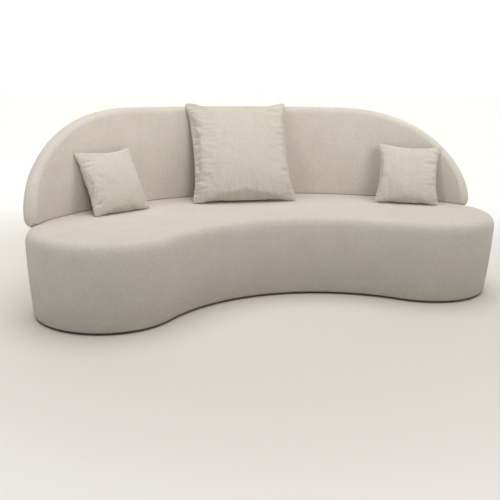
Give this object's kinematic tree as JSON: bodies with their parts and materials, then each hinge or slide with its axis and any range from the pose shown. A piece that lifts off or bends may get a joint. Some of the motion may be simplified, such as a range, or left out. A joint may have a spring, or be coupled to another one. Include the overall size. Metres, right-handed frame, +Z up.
{
  "type": "sofa",
  "caption": "Curved kidney-shaped upholstered sofa on low hidden feet, with an arched wrap-round back and loose scatter cushions.",
  "frame": {"origin": "on the floor under the middle of the whole sofa's length and depth", "axes": "+X along the length to the right as seen from the front, +Y to the back, +Z up"},
  "size_m": [2.3, 1.119, 0.8948],
  "materials": {
    "glide": "matt",
    "foot_wood": "satin lacquer",
    "steel": "zinc plated",
    "dust_cloth": "non-woven black",
    "frame_wood": "bare sawn softwood",
    "plywood": "bare plywood",
    "hardboard": "bare hardboard",
    "webbing": "woven elastic",
    "foam": "cut polyurethane foam",
    "wadding": "fluffy polyester",
    "cover_cloth": "cream nubby weave, matt",
    "painted_steel": "matt grey paint",
    "filling": "fibre filled inner",
    "cushion_cloth": "cream weave, matt",
    "zip": "cream coil zip",
    "zip_slider": "cream painted"
  },
  "bodies": {
    "sofa": {"foot_glides": "glide", "feet": "foot_wood", "foot_bolts": "steel", "foot_tee_nuts": "steel", "base_dust_cover": "dust_cloth", "base_skirt_rail": "frame_wood", "base_bottom_board": "plywood", "base_posts": "frame_wood", "base_cross_rails": "frame_wood", "base_top_ring": "plywood", "base_skin": "hardboard", "seat_webbing": "webbing", "base_side_foam": "foam", "seat_foam": "foam", "base_wadding": "wadding", "base_cover": "cover_cloth", "back_support_bars": "painted_steel", "back_support_bolts": "steel", "back_support_nuts": "steel", "back_bottom_board": "plywood", "back_ribs": "frame_wood", "back_arch_rail": "frame_wood", "back_inner_panel": "plywood", "back_outer_panel": "plywood", "back_foam": "foam", "back_rear_wadding": "wadding", "back_cover": "cover_cloth"},
    "large_cushion": {"large_cushion_filling": "filling", "large_cushion_cover": "cushion_cloth", "large_cushion_zip": "zip"},
    "large_zip_slider": {"large_cushion_zip_slider": "zip_slider"},
    "left_cushion": {"left_cushion_filling": "filling", "left_cushion_cover": "cushion_cloth", "left_cushion_zip": "zip"},
    "left_zip_slider": {"left_cushion_zip_slider": "zip_slider"},
    "right_cushion": {"right_cushion_filling": "filling", "right_cushion_cover": "cushion_cloth", "right_cushion_zip": "zip"},
    "right_zip_slider": {"right_cushion_zip_slider": "zip_slider"}
  },
  "joints": [
    {"name": "large_cushion_lift", "type": "slide", "parent": "sofa", "child": "large_cushion", "axis": [0, 0, 1], "range_m": [0, 0.6]},
    {"name": "large_zip_slide", "type": "slide", "parent": "large_cushion", "child": "large_zip_slider", "axis": [-0.9978, 0.0663, 0], "range_m": [0, 0.2192]},
    {"name": "left_cushion_lift", "type": "slide", "parent": "sofa", "child": "left_cushion", "axis": [0, 0, 1], "range_m": [0, 0.6]},
    {"name": "left_zip_slide", "type": "slide", "parent": "left_cushion", "child": "left_zip_slider", "axis": [-0.8829, -0.4695, 0], "range_m": [0, 0.1226]},
    {"name": "right_cushion_lift", "type": "slide", "parent": "sofa", "child": "right_cushion", "axis": [0, 0, 1], "range_m": [0, 0.6]},
    {"name": "right_zip_slide", "type": "slide", "parent": "right_cushion", "child": "right_zip_slider", "axis": [-0.8819, 0.471, 0.0231], "range_m": [0, 0.1226]}
  ]
}
